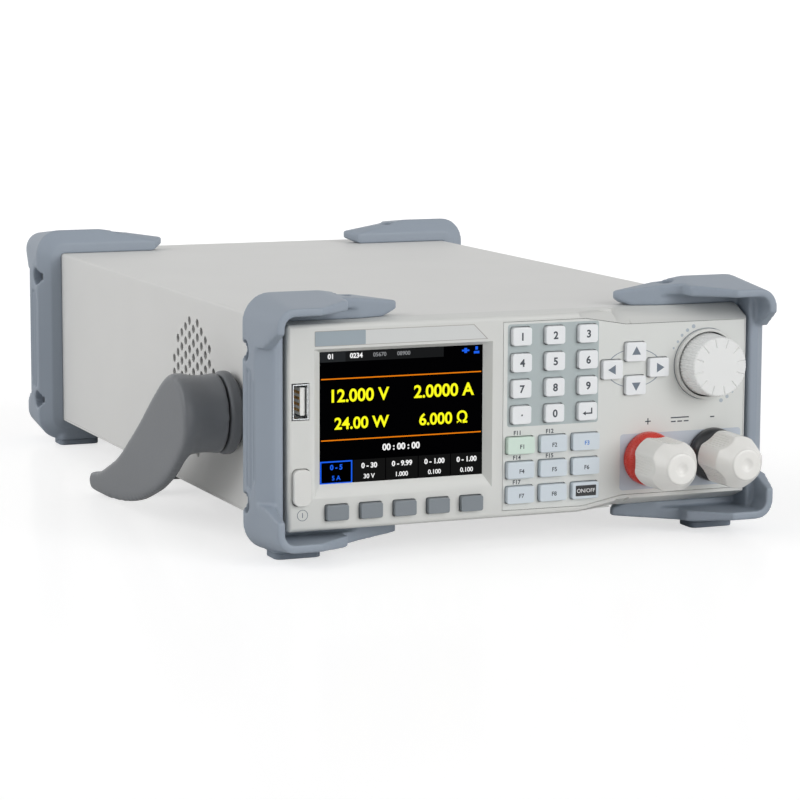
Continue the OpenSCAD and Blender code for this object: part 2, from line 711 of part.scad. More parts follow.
// side outline of one arm about the pivot, smoothed between its points
arm_pts = [[-17.2, 0], [-16.9, -6.5], [-11.9, -13.2], [2.4, -24.3], [17.1, -32.4], [29.3, -37.2],
  [46, -42.7], [64.7, -46.6], [86.9, -49.1], [105.1, -49.9], [116.5, -49.9], [120.6, -47.8],
  [120.9, -44.6], [117.8, -42], [105.4, -39.8], [87.2, -33.1], [75.4, -28], [60, -18.5],
  [45.3, -9], [30, 2], [15.2, 11.7], [8, 15.2], [0, 17.2], [-9, 14.7], [-15, 8.5]];
function wrap(i) = arm_pts[(i + len(arm_pts)) % len(arm_pts)];
function smooth(i, t) = let (a = wrap(i - 1), b = wrap(i), c = wrap(i + 1), d = wrap(i + 2))
  0.5 * (2 * b + (c - a) * t + (2 * a - 5 * b + 4 * c - d) * t * t + (3 * b - a - 3 * c + d) * t * t * t);
arm_line = [for (i = [0 : len(arm_pts) - 1], t = [0, 0.34, 0.67]) smooth(i, t)];

// waisted neck between the disc and the arm, hollow for the pin
module bail_neck() {
  start = hub_t + 0.3;
  stop = bail_out - arm_t + 0.5;
  translate([hw, 0, 0]) rotate([0, 90, 0]) rotate_extrude($fn = 72)
    polygon([[pin_r + 0.08, start], [hub_d / 2 - 1, start], [hub_d / 2 - 0.5, start + 0.8],
      [hub_d / 2 - 1.1, start + 4], [hub_d / 2 - 1.3, start + 8], [hub_d / 2 - 0.9, start + 12],
      [hub_d / 2 - 0.2, stop], [0, stop], [0, stop - 3.1], [pin_r + 0.08, stop - 3.1]]);
}

module bail() color("#5C5F63") at_front() translate([0, hub_y, hub_z]) {
  for (s = [0, 1]) mirror([s, 0, 0]) {
    yz(hw + bail_out - arm_t, hw + bail_out) polygon(arm_line);
    bail_neck();
  }
  translate([0, bar_y, bar_z]) yz(-hw - bail_out + arm_t - 1, hw + bail_out - arm_t + 1)
    rrect(bar_w, bar_t, 2.1);
}

front_bezel();
overlay_panel();
display();
top_cover();
base_tray();
rear_panel();
bumper_fl();
bumper_fr();
bumper_rl();
bumper_rr();
feet();
bumper_screws();
usb_port();
collar_red();
collar_black();
post_studs();
key_mat();
front_board();
heatsink();
fan_frame();
mains_inlet();
bail_hubs();
key_1();
key_2();
key_3();
key_4();
key_5();
key_6();
key_7();
key_8();
key_9();
key_point();
key_0();
key_enter();
key_up();
key_down();
key_left();
key_right();
fn_1();
fn_2();
fn_3();
fn_4();
fn_5();
fn_6();
fn_7();
fn_8();
fn_9();
soft_1();
soft_2();
soft_3();
soft_4();
soft_5();
power_button();
adjust_knob();
washer_red();
washer_black();
nut_red();
nut_black();
bail();
fan_rotor();
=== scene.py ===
"""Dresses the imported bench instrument: finishes, print, display picture, soft edges, light and camera."""
import math

import bpy
from mathutils import Matrix, Vector


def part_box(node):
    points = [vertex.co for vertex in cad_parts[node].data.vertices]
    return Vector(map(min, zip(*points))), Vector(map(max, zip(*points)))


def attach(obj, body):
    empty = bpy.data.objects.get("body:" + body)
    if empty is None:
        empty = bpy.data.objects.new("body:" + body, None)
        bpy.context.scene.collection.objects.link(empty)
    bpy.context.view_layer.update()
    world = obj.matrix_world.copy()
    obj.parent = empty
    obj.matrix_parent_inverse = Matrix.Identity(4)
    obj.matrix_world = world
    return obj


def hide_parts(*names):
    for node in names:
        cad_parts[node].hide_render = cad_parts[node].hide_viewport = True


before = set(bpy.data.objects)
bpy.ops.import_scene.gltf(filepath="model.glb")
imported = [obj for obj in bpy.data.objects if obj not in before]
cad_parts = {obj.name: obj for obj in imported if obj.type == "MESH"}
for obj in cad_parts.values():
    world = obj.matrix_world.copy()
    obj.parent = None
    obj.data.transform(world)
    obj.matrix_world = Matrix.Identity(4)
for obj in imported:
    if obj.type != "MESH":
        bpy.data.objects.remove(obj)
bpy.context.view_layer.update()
scene = bpy.context.scene

MM = 0.001
# points of a CAD mesh that lie closer than this are one point
WELD = 0.002 * MM
# thickness of a printed mark and of a lit block on the display, in mm
INK = 0.05
LIT = 0.02
# Blender's font is this much larger than its digits
FONT_SCALE = 1.42
# rotation that makes a flat piece face the front, -Y
FACING = math.pi / 2
PANEL_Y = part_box("overlay_panel")[0].y
# marks on the panel start just in front of it
FACE = PANEL_Y - 0.01 * MM


def linear(hex_colour):
    """sRGB hex to the linear colour that a shader takes."""
    parts = [int(hex_colour[i:i + 2], 16) / 255 for i in (1, 3, 5)]
    return tuple(c / 12.92 if c <= 0.04045 else ((c + 0.055) / 1.055) ** 2.4 for c in parts) + (1.0,)


def add(tree, kind, settings=None, links=None):
    """Adds one node with its settings, and links the given outputs into its inputs."""
    made = tree.nodes.new(kind)
    for key, value in (settings or {}).items():
        if isinstance(key, str) and hasattr(made, key):
            setattr(made, key, value)
        else:
            made.inputs[key].default_value = value
    for key, source in (links or {}).items():
        tree.links.new(source, made.inputs[key])
    return made


def finish(name, colour, roughness, grain, depth, second, metallic=0.0, ior=1.5):
    """A moulded, painted or metal surface.

    It has a fine bump, grain wide and depth deep in mm, and drifts slowly towards the second colour.
    """
    material = bpy.data.materials.new(name)
    material.use_nodes = True
    tree = material.node_tree
    shader = tree.nodes["Principled BSDF"]
    shader.inputs["Metallic"].default_value = metallic
    shader.inputs["IOR"].default_value = ior
    place = add(tree, "ShaderNodeTexCoord").outputs["Object"]
    clouds = add(tree, "ShaderNodeTexNoise", {"Scale": 1 / (35 * MM), "Detail": 3.0}, {"Vector": place})
    drift = add(tree, "ShaderNodeMapRange",
                {"From Min": 0.35, "From Max": 0.65, "To Min": 0.0, "To Max": 0.25},
                {"Value": clouds.outputs["Fac"]})
    mixed = add(tree, "ShaderNodeMix", {"data_type": "RGBA"}, {"Factor": drift.outputs["Result"]})
    mixed.inputs[6].default_value = linear(colour)
    mixed.inputs[7].default_value = linear(second)
    tree.links.new(mixed.outputs[2], shader.inputs["Base Color"])
    fine = add(tree, "ShaderNodeTexNoise", {"Scale": 1 / (grain * MM), "Detail": 2.0}, {"Vector": place})
    rough = add(tree, "ShaderNodeMapRange", {"To Min": roughness - 0.05, "To Max": roughness + 0.05},
                {"Value": fine.outputs["Fac"]})
    tree.links.new(rough.outputs["Result"], shader.inputs["Roughness"])
    bump = add(tree, "ShaderNodeBump", {"Strength": 0.35, "Distance": depth * MM},
               {"Height": fine.outputs["Fac"]})
    tree.links.new(bump.outputs["Normal"], shader.inputs["Normal"])
    return material


def glow(name, colour):
    """A lit part of the display picture: even light, no gloss."""
    material = bpy.data.materials.new(name)
    material.use_nodes = True
    shader = material.node_tree.nodes["Principled BSDF"]
    shader.inputs["Base Color"].default_value = (0, 0, 0, 1)
    shader.inputs["Roughness"].default_value = 0.6
    shader.inputs["IOR"].default_value = 1.0
    shader.inputs["Emission Color"].default_value = linear(colour)
    shader.inputs["Emission Strength"].default_value = 1.0
    return material


# powder-coated sheet steel: pale warm grey, faint orange peel about half a millimetre across
powder_coat = finish("powder_coated_steel", "#E0E0DE", 0.5, 0.6, 0.05, "#DADAD8")
# moulded ABS with a fine spark-eroded texture
bezel_abs = finish("moulded_abs_bezel", "#D6D7D4", 0.45, 0.35, 0.03, "#D1D2CF")
# soft bumper moulding, a rubbery elastomer: matt, bluish grey
bumper_rubber = finish("moulded_elastomer_bumper", "#939DA9", 0.5, 0.45, 0.05, "#8B95A2")
foot_rubber = finish("moulded_rubber_foot", "#828C98", 0.65, 0.6, 0.06, "#7A8490")
# glass-filled nylon: grey, satin, slightly coarse grain
bail_nylon = finish("glass_filled_nylon_bail", "#717478", 0.36, 0.5, 0.05, "#6A6D71", ior=1.4)
hub_nylon = finish("glass_filled_nylon_hub", "#66696D", 0.36, 0.5, 0.05, "#5F6266", ior=1.4)
key_abs = finish("moulded_abs_key", "#ECEEF0", 0.4, 0.3, 0.02, "#E6E9EC")
fn_abs = finish("translucent_silicone_key", "#D2DBE2", 0.38, 0.3, 0.02, "#CAD5DD")
fn_lit_abs = finish("translucent_silicone_key_lit", "#D3E6DA", 0.38, 0.3, 0.02, "#CFE3D6")
soft_abs = finish("moulded_abs_soft_key", "#7F868C", 0.4, 0.3, 0.03, "#788086")
power_abs = finish("moulded_abs_power_button", "#DEDEDB", 0.35, 0.3, 0.02, "#D8D8D5")
knob_abs = finish("moulded_abs_knob", "#EAEBEA", 0.4, 0.3, 0.02, "#E5E7E6")
nut_nylon = finish("moulded_nylon_nut", "#EEEDE9", 0.24, 0.5, 0.03, "#E8E7E3")
red_nylon = finish("moulded_nylon_red", "#CE3427", 0.28, 0.5, 0.03, "#C42E22")
black_nylon = finish("moulded_nylon_black", "#25272B", 0.32, 0.5, 0.03, "#1F2124")
brass = finish("turned_brass", "#C9A24E", 0.3, 0.4, 0.02, "#B8923F", metallic=1.0)
plated_steel = finish("nickel_plated_steel", "#C6C9CB", 0.28, 0.4, 0.02, "#B5B9BC", metallic=1.0)
zinc_steel = finish("zinc_plated_screw", "#9DA1A5", 0.35, 0.3, 0.03, "#8D9195", metallic=1.0)
sink_alloy = finish("extruded_aluminium", "#C9CCCE", 0.4, 0.4, 0.03, "#BCC0C2", metallic=1.0)
mat_silicone = finish("moulded_silicone_mat", "#6E7377", 0.7, 0.5, 0.05, "#666B6F")
board_mask = finish("solder_masked_board", "#2F6B45", 0.4, 0.4, 0.03, "#296040")
fan_pbt = finish("moulded_pbt_fan", "#2B2D30", 0.5, 0.4, 0.04, "#26282B")
lcd_glass = finish("display_cover_glass", "#010102", 0.12, 2.0, 0.002, "#020203", ior=1.03)
ink_dark = finish("screen_printed_ink_dark", "#3E444C", 0.5, 0.4, 0.01, "#444A52")
ink_slate = finish("screen_printed_ink_slate", "#6B7683", 0.5, 0.4, 0.01, "#727D89")
ink_blue = finish("screen_printed_ink_blue", "#3F7FD0", 0.5, 0.4, 0.01, "#3B78C6")
ink_pale = finish("screen_printed_ink_pale", "#AEB7C0", 0.5, 0.4, 0.01, "#B4BDC5")
label_blue = finish("label_foil_blue_grey", "#9AA6AE", 0.4, 0.4, 0.01, "#93A0A8")
label_clear = finish("label_foil_pale", "#D2D4D3", 0.4, 0.4, 0.01, "#CED0CF")
label_cut = finish("label_foil_cut_edge", "#A09C98", 0.6, 0.4, 0.01, "#989490")
tongue_pbt = finish("moulded_pbt_tongue", "#E9E9E6", 0.35, 0.4, 0.02, "#E3E3E0")
contact_gold = finish("gold_plated_contact", "#D2A04A", 0.3, 0.4, 0.02, "#C09040", metallic=1.0)
# black ink for print, also used as painted shade: the sheet in the gap round the overlay and the disc in the
# groove at the knob's foot
ink_black_and_painted_shade = finish("screen_printed_ink_black_and_painted_shade", "#17191C", 0.4, 0.4, 0.01, "#1B1D20")
ink_white = finish("screen_printed_ink_white", "#F2F3F4", 0.5, 0.4, 0.01, "#ECEDEE")
lcd_yellow = glow("display_yellow", "#FFFF20")
lcd_orange = glow("display_orange", "#F08010")
lcd_white = glow("display_white", "#F2F2F2")
lcd_grey = glow("display_grey", "#8A8C8E")
lcd_bar = glow("display_status_bar", "#26282A")
lcd_blue = glow("display_blue", "#1E62F0")
lcd_tab = glow("display_tab", "#1A1B1C")
lcd_cell = glow("display_cell", "#141414")
lcd_black = glow("display_black", "#000000")


def vector_step(tree, operation, source, value=None):
    """One step of vector arithmetic on a shader socket."""
    step = add(tree, "ShaderNodeVectorMath", {"operation": operation}, {0: source})
    if value is not None:
        step.inputs[1].default_value = value
    return step.outputs["Value" if operation == "LENGTH" else "Vector"]


def number_step(tree, operation, source, value=0.5):
    """One step of arithmetic on a shader socket."""
    return add(tree, "ShaderNodeMath", {"operation": operation, 1: value}, {0: source}).outputs[0]


def zone(tree, place, centre, half, radius):
    """1 inside a rounded rectangle on the panel, 0 outside; sizes in metres, in X and Z."""
    moved = vector_step(tree, "SUBTRACT", place, (centre[0], 0, centre[1]))
    flat = vector_step(tree, "MULTIPLY", moved, (1, 0, 1))
    mirrored = vector_step(tree, "ABSOLUTE", flat)
    corner = vector_step(tree, "SUBTRACT", mirrored, (half[0] - radius, 0, half[1] - radius))
    clipped = vector_step(tree, "MAXIMUM", corner, (0, 0, 0))
    reach = vector_step(tree, "LENGTH", clipped)
    return number_step(tree, "LESS_THAN", reach, radius)


def oval_line(tree, place, centre, half, width):
    """1 on a thin printed oval line, 0 elsewhere; sizes in metres, in X and Z."""
    moved = vector_step(tree, "SUBTRACT", place, (centre[0], 0, centre[1]))
    rounded = vector_step(tree, "MULTIPLY", moved, (1 / half[0], 0, 1 / half[1]))
    reach = vector_step(tree, "LENGTH", rounded)
    off = number_step(tree, "ABSOLUTE", number_step(tree, "SUBTRACT", reach, 1.0))
    return number_step(tree, "LESS_THAN", off, width / half[0] / 2)


def centre_of(*nodes):
    """Centre, in X and Z, of the box round some nodes."""
    boxes = [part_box(node) for node in nodes]
    return tuple((min(low[i] for low, _ in boxes) + max(high[i] for _, high in boxes)) / 2 for i in (0, 2))


# printed polycarbonate film: the keypad field, the input field and the oval line by the arrow keys are ink
overlay_film = finish("printed_polycarbonate_film", "#DADCD9", 0.42, 0.35, 0.02, "#D5D7D5")
film = overlay_film.node_tree
film_place = add(film, "ShaderNodeTexCoord").outputs["Object"]
keypad = centre_of("key_1", "key_enter")
posts = centre_of("collar_red", "collar_black")
input_field = (posts[0] + 0.4 * MM, posts[1] - 1.2 * MM)
arrows = centre_of("key_up", "key_down", "key_left", "key_right")
film_colour = film.nodes["Principled BSDF"].inputs["Base Color"]
colour_out = film_colour.links[0].from_socket
for mask, ink in (
    (zone(film, film_place, keypad, (20.4 * MM, 20.9 * MM), 1.2 * MM), "#AFB9BA"),
    (zone(film, film_place, input_field, (28.1 * MM, 11.7 * MM), 1.5 * MM), "#BEC6D0"),
    (oval_line(film, film_place, arrows, (12.45 * MM, 7.85 * MM), 0.45 * MM), "#7A8794"),
):
    layer = add(film, "ShaderNodeMix", {"data_type": "RGBA"}, {"Factor": mask})
    film.links.new(colour_out, layer.inputs[6])
    layer.inputs[7].default_value = linear(ink)
    colour_out = layer.outputs[2]
film.links.new(colour_out, film_colour)


def alone(obj):
    """Selects one object and nothing else."""
    if bpy.context.object and bpy.context.object.mode != "OBJECT":
        bpy.ops.object.mode_set(mode="OBJECT")
    bpy.ops.object.select_all(action="DESELECT")
    obj.select_set(True)
    bpy.context.view_layer.objects.active = obj


def edit_all(obj):
    """Opens an object's mesh for editing, with all of it selected."""
    alone(obj)
    bpy.ops.object.mode_set(mode="EDIT")
    bpy.ops.mesh.select_all(action="SELECT")


def end_edit():
    """Closes the mesh that is open for editing."""
    bpy.ops.object.mode_set(mode="OBJECT")


def settle(obj):
    """Puts an object's place, turn and scale into its mesh."""
    alone(obj)
    bpy.ops.object.transform_apply(location=True, rotation=True, scale=True)


def apply_all(obj):
    """Makes an object's modifiers part of its mesh."""
    alone(obj)
    for modifier in list(obj.modifiers):
        bpy.ops.object.modifier_apply(modifier=modifier.name)


def join(pieces):
    """Makes some objects one."""
    bpy.ops.object.select_all(action="DESELECT")
    for piece in pieces:
        piece.select_set(True)
    bpy.context.view_layer.objects.active = pieces[0]
    bpy.ops.object.join()
    return bpy.context.object


def dress(obj, name, material, body):
    """Names a finished piece, gives it its finish and its body."""
    obj.name = name
    obj.data.name = name
    obj.data.materials.clear()
    obj.data.materials.append(material)
    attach(obj, body)
    return obj


def welded_copy(node, name, merge_flat=False):
    """A copy of a CAD solid whose doubled points are joined, and its flat faces merged if asked."""
    piece = bpy.data.objects.new(name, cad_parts[node].data.copy())
    scene.collection.objects.link(piece)
    edit_all(piece)
    bpy.ops.mesh.remove_doubles(threshold=WELD)
    if merge_flat:
        bpy.ops.mesh.dissolve_limited(angle_limit=math.radians(1.0))
    end_edit()
    return piece


def eased(node, material, width, segments=3, body="instrument"):
    """A copy of a CAD solid with rounded edges and flat faces kept flat, which then stands for the solid."""
    piece = welded_copy(node, node + "_eased", merge_flat=True)
    edge = piece.modifiers.new("edge", "BEVEL")
    edge.width = width * MM
    edge.segments = segments
    edge.limit_method = "ANGLE"
    edge.angle_limit = math.radians(34)
    apply_all(piece)
    bpy.ops.object.shade_smooth_by_angle(angle=math.radians(32))
    flat = piece.modifiers.new("flat", "WEIGHTED_NORMAL")
    flat.keep_sharp = True
    apply_all(piece)
    dress(piece, node + "_eased", material, body)
    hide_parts(node)


def softened(node, material, grid, passes, body):
    """A copy of a CAD solid on an even grid, in mm, relaxed so that every edge gets a wide round."""
    piece = welded_copy(node, node + "_softened")
    even = piece.modifiers.new("even", "REMESH")
    even.mode = "VOXEL"
    even.voxel_size = grid * MM
    relaxed = piece.modifiers.new("relaxed", "SMOOTH")
    relaxed.factor = 0.5
    relaxed.iterations = passes
    apply_all(piece)
    bpy.ops.object.shade_smooth()
    dress(piece, node + "_softened", material, body)
    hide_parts(node)


def thicken(sheet, thick):
    """Gives a flat sheet its thickness, in mm, towards the front."""
    edit_all(sheet)
    bpy.ops.mesh.extrude_region_move(TRANSFORM_OT_translate={"value": (0, -thick * MM, 0)})
    bpy.ops.mesh.select_all(action="SELECT")
    bpy.ops.mesh.normals_make_consistent(inside=False)
    end_edit()


def lettering(name, words, height, x, z, y, material, body, bold=0.0):
    """Flat letters that face the front; height is the digit height in mm."""
    bpy.ops.object.text_add(location=(0, 0, 0))
    text = bpy.context.object
    text.data.body = words
    text.data.align_x = "CENTER"
    text.data.align_y = "CENTER"
    text.data.size = height * MM * FONT_SCALE
    text.data.extrude = 0.03 * MM
    text.data.offset = bold * MM
    text.data.resolution_u = 6
    alone(text)
    bpy.ops.object.convert(target="MESH")
    text = bpy.context.object
    text.rotation_euler = (FACING, 0, 0)
    settle(text)
    low = [min(v.co[i] for v in text.data.vertices) for i in (0, 2)]
    high = [max(v.co[i] for v in text.data.vertices) for i in (0, 2)]
    text.location = (x - (low[0] + high[0]) / 2, y, z - (low[1] + high[1]) / 2)
    settle(text)
    dress(text, name, material, body)


def panel_plate(name, x, z, w, h, radius, y, thick, material, body="instrument"):
    """A thin plate with rounded corners that faces the front, its back on y; sizes in mm, place in metres."""
    bpy.ops.mesh.primitive_plane_add(size=1, location=(x, y, z), rotation=(FACING, 0, 0))
    plate = bpy.context.object
    plate.scale = (w * MM, h * MM, 1)
    settle(plate)
    if radius:
        edit_all(plate)
        bpy.ops.mesh.bevel(offset=radius * MM, segments=6, affect="VERTICES")
        end_edit()
    thicken(plate, thick)
    return dress(plate, name, material, body)


def panel_disc(name, x, z, diameter, y, material, body, sides, turn=0.0):
    """A thin printed disc or triangle that faces the front, turned by some degrees."""
    bpy.ops.mesh.primitive_circle_add(vertices=sides, radius=diameter / 2 * MM, fill_type="NGON",
                                      location=(x, y, z), rotation=(FACING, math.radians(turn), 0))
    disc = bpy.context.object
    settle(disc)
    thicken(disc, INK)
    dress(disc, name, material, body)


def panel_ring(name, x, z, y, radius, width, segments):
    """A fine printed ring on the panel; radius and half width in mm."""
    bpy.ops.mesh.primitive_torus_add(major_radius=radius * MM, minor_radius=width * MM,
                                     major_segments=segments, minor_segments=8, location=(x, y, z),
                                     rotation=(FACING, 0, 0))
    line = bpy.context.object
    settle(line)
    dress(line, name, ink_slate, "instrument")


def overlay_gap():
    """A black sheet under the overlay, a little wider than it, which shows as a fine dark line in the gap
    round it: painted shade in the gap.
    """
    low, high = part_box("overlay_panel")
    centre = ((low.x + high.x) / 2, high.y, (low.z + high.z) / 2)
    margin = 0.36 * MM
    wider = (1 + margin / (high.x - low.x), 0.2, 1 + margin / (high.z - low.z))
    sheet = welded_copy("overlay_panel", "overlay_gap_painted_shade")
    edit_all(sheet)
    bpy.ops.transform.resize(value=wider, center_override=centre)
    end_edit()
    dress(sheet, "overlay_gap_painted_shade", ink_black_and_painted_shade, "instrument")


eased("top_cover", powder_coat, 0.35, 2)
eased("base_tray", powder_coat, 0.2, 1)
eased("rear_panel", powder_coat, 0.15, 1)
eased("front_bezel", bezel_abs, 0.3, 2)
eased("overlay_panel", overlay_film, 0.12, 2)
overlay_gap()
for corner in ("fl", "fr", "rl", "rr"):
    softened("bumper_" + corner, bumper_rubber, 0.65, 4, "instrument")
eased("feet", foot_rubber, 0.5)
eased("bumper_screws", zinc_steel, 0.35)
softened("bail", bail_nylon, 1.1, 9, "bail")
eased("bail_hubs", hub_nylon, 1.4, 4)
eased("mains_inlet", black_nylon, 0.6)
eased("fan_frame", fan_pbt, 0.4, 2)
eased("fan_rotor", fan_pbt, 0.3, 2, body="fan_rotor")
eased("heatsink", sink_alloy, 0.3, 1)
eased("usb_port", plated_steel, 0.25, 2)
eased("display", lcd_glass, 0.2, 2)
eased("key_mat", mat_silicone, 0.3, 2)
eased("front_board", board_mask, 0.15, 1)

eased("collar_red", red_nylon, 0.8, 4)
eased("collar_black", black_nylon, 0.8, 4)
eased("post_studs", brass, 0.4)
for side in ("red", "black"):
    eased("washer_" + side, brass, 0.2, 2, body="washer_" + side)
    softened("nut_" + side, nut_nylon, 0.3, 4, "nut_" + side)


def grip_ribs(node, turn):
    """Seven fine ribs in each of a clamp nut's four scoops; turn is the first scoop's angle in degrees."""
    low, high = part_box(node)
    x, z = (low.x + high.x) / 2, (low.z + high.z) / 2
    scoop_reach, scoop_radius = 29.5 * MM, 20 * MM
    run = (high.y - low.y) * 0.66
    rib_radius, rib_angle, end_gap = 0.5 * MM, 3.3, 0.8 * MM
    bpy.ops.mesh.primitive_cylinder_add(vertices=10, radius=rib_radius, depth=1, rotation=(FACING, 0, 0))
    model = bpy.context.object
    settle(model)
    # the front end of a rib runs out in a point
    for vertex in model.data.vertices:
        vertex.select = vertex.co.y < 0
    bpy.ops.object.mode_set(mode="EDIT")
    bpy.ops.mesh.select_mode(type="VERT")
    bpy.ops.transform.resize(value=(0.35, 1, 0.35))
    end_edit()
    ribs = []
    for scoop in range(4):
        for step in range(-3, 4):
            towards = math.radians(turn + 90 * scoop)
            across = towards + math.radians(rib_angle * step)
            length = run * (1 - 0.035 * step * step)
            rib = model.copy()
            rib.data = model.data.copy()
            scene.collection.objects.link(rib)
            rib.scale = (1, length, 1)
            rib.location = (x + scoop_reach * math.cos(towards) - scoop_radius * math.cos(across),
                            high.y - end_gap - length / 2,
                            z + scoop_reach * math.sin(towards) - scoop_radius * math.sin(across))
            settle(rib)
            ribs.append(rib)
    bpy.data.objects.remove(model)
    joined = join(ribs)
    bpy.ops.object.shade_smooth_by_angle(angle=math.radians(40))
    dress(joined, node + "_ribs", nut_nylon, node)


grip_ribs("nut_red", 0)
grip_ribs("nut_black", 35)

NUMBERS = {"key_%d" % i: str(i) for i in range(1, 10)}
NUMBERS.update({"key_point": ".", "key_0": "0"})
FUNCTIONS = {"fn_%d" % i: "F%d" % i for i in range(1, 9)}


def key_front(node):
    """X and Z of a key's middle, and Y of its front."""
    low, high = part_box(node)
    return (low.x + high.x) / 2, (low.z + high.z) / 2, low.y


for node in list(NUMBERS) + ["key_enter"]:
    eased(node, key_abs, 0.7, 4, body=node)
for node, words in NUMBERS.items():
    x, z, y = key_front(node)
    lettering(node + "_mark", words, 3.0, x, z, y, ink_dark, node, 0.13)

for node, turn in (("key_up", 0), ("key_right", 90), ("key_down", 180), ("key_left", 270)):
    eased(node, key_abs, 0.7, 4, body=node)
    x, z, y = key_front(node)
    panel_disc(node + "_mark", x, z, 4.6, y, ink_slate, node, 3, turn)

for node in ["fn_%d" % i for i in range(1, 10)]:
    eased(node, fn_lit_abs if node == "fn_1" else fn_abs, 0.7, 4, body=node)
for node, words in FUNCTIONS.items():
    x, z, y = key_front(node)
    ink = ink_blue if node == "fn_3" else ink_dark
    lettering(node + "_mark", words, 1.7, x + 0.3 * MM, z - 0.4 * MM, y, ink, node, 0.05)
x, z, y = key_front("fn_9")
panel_plate("fn_9_inset", x, z, 9.2, 4.4, 0.2, y, INK, ink_black_and_painted_shade, "fn_9")
lettering("fn_9_mark", "ON/OFF", 1.6, x, z, y - 0.06 * MM, ink_white, "fn_9")

for node in ["soft_%d" % i for i in range(1, 6)]:
    eased(node, soft_abs, 0.8, 4, body=node)
eased("power_button", power_abs, 0.9, 4, body="power_button")

# enter sign: a hooked arrow of two bars and a head
x, z, y = key_front("key_enter")
panel_plate("key_enter_bar", x + 0.2 * MM, z - 0.7 * MM, 3.4, 0.55, 0, y, INK, ink_dark, "key_enter")
panel_plate("key_enter_riser", x + 1.65 * MM, z + 0.3 * MM, 0.55, 2.4, 0, y, INK, ink_dark, "key_enter")
panel_disc("key_enter_head", x - 1.5 * MM, z - 0.7 * MM, 1.9, y, ink_dark, "key_enter", 3, 270)


def groove_cutter(x, z, y, reach, angle):
    """A bar on edge that cuts one short radial groove into the knob's face."""
    bpy.ops.mesh.primitive_cube_add(size=1, location=(0, 0, 0))
    cutter = bpy.context.object
    cutter.scale = (3.6 * MM, 0.62 * MM, 0.62 * MM)
    cutter.rotation_euler = (math.pi / 4, -angle, 0)
    cutter.location = (x + reach * math.cos(angle), y, z + reach * math.sin(angle))
    settle(cutter)
    return cutter


def knob():
    """Fluted skirt, flat face with twelve short radial grooves."""
    low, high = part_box("adjust_knob")
    x, z = (low.x + high.x) / 2, (low.z + high.z) / 2
    base = (high.x - low.x) / 2
    back = PANEL_Y + 0.3 * MM
    centre = (x, back, z)
    bpy.ops.mesh.primitive_circle_add(vertices=240, radius=base, location=centre, rotation=(FACING, 0, 0),
                                      fill_type="NGON")
    piece = bpy.context.object
    settle(piece)
    # flutes: one of every four points pulled in
    bpy.ops.object.mode_set(mode="EDIT")
    bpy.ops.mesh.select_mode(type="VERT")
    bpy.ops.mesh.select_all(action="DESELECT")
    end_edit()
    for i, vertex in enumerate(piece.data.vertices):
        vertex.select = i % 4 == 0
    bpy.ops.object.mode_set(mode="EDIT")
    bpy.ops.transform.resize(value=(0.978, 1, 0.978), center_override=centre)
    # each step goes forward and then draws the outline in: foot, skirt, shoulder and rim of the face
    length = back - low.y
    steps = ((0.35 * MM, 1.0), (length - 1.5 * MM, 0.955), (0.75 * MM, 0.985), (0.35 * MM, 0.955))
    bpy.ops.mesh.select_all(action="SELECT")
    for forward, shrink in steps:
        bpy.ops.mesh.extrude_region_move(TRANSFORM_OT_translate={"value": (0, -forward, 0)})
        bpy.ops.transform.resize(value=(shrink, 1, shrink), center_override=centre)
    bpy.ops.mesh.select_all(action="SELECT")
    bpy.ops.mesh.normals_make_consistent(inside=False)
    end_edit()
    grooves = join([groove_cutter(x, z, low.y, base * 0.76, math.radians(30 * i + 12)) for i in range(12)])
    cut = piece.modifiers.new("grooves", "BOOLEAN")
    cut.object = grooves
    cut.operation = "DIFFERENCE"
    cut.solver = "EXACT"
    apply_all(piece)
    bpy.data.objects.remove(grooves)
    alone(piece)
    bpy.ops.object.shade_smooth_by_angle(angle=math.radians(28))
    dress(piece, "knob_fluted", knob_abs, "adjust_knob")
    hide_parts("adjust_knob")


knob()


def panel(x, z):
    """A place on the panel, given in mm from the middle of the front and from the bench."""
    return x * MM, z * MM


# printed dots beside the knob: X, Z and diameter in mm
KNOB_DOTS = (
    (67.6, 78.7, 0.9), (69.5, 81.3, 1.1), (71.4, 83.9, 1.3), (73.9, 85.9, 1.5), (76.7, 87.4, 1.7),
    (90.2, 55.8, 1.7), (93.0, 57.3, 1.5), (95.4, 59.3, 1.3), (97.3, 61.9, 1.1), (98.7, 64.7, 0.9),
)
for i, (dot_x, dot_z, size) in enumerate(KNOB_DOTS):
    x, z = panel(dot_x, dot_z)
    panel_disc("knob_dot_%d" % (i + 1), x, z, size, FACE, ink_pale, "instrument", 24)

# plus and minus over the posts
x, z = panel(56.2, 48.8)
panel_plate("plus_across", x, z, 2.6, 0.45, 0, FACE, INK, ink_dark)
panel_plate("plus_up", x, z, 0.45, 2.6, 0, FACE, INK, ink_dark)
x, z = panel(86.2, 49.2)
panel_plate("minus_across", x, z, 1.9, 0.5, 0, FACE, INK, ink_dark)
# direct-current sign between the posts: a line over three dashes
x, z = panel(71.0, 48.9)
panel_plate("direct_line", x, z + 0.8 * MM, 8.4, 0.5, 0, FACE, INK, ink_dark)
for i in (-1, 0, 1):
    panel_plate("direct_dash_%d" % (i + 2), x + i * 3.0 * MM, z - 0.8 * MM, 2.2, 0.5, 0, FACE, INK, ink_dark)

# black disc behind the knob that shows in the groove at its foot: painted shade in the groove; and a fine
# line round its ring
knob_x, knob_z = centre_of("adjust_knob")
panel_disc("knob_gap_painted_shade", knob_x, knob_z, 27.1, PANEL_Y + 0.1 * MM, ink_black_and_painted_shade, "instrument", 96)
panel_ring("knob_ring_line", knob_x, knob_z, PANEL_Y, 14.85, 0.13, 128)

# small second numbers over the function keys
for node, words in (("fn_1", "F11"), ("fn_2", "F12"), ("fn_4", "F14"), ("fn_5", "F15"), ("fn_7", "F17")):
    x, z, y = key_front(node)
    lettering(node + "_number", words, 1.7, x - 1.0 * MM, z + 5.0 * MM, FACE, ink_dark, "instrument", 0.06)

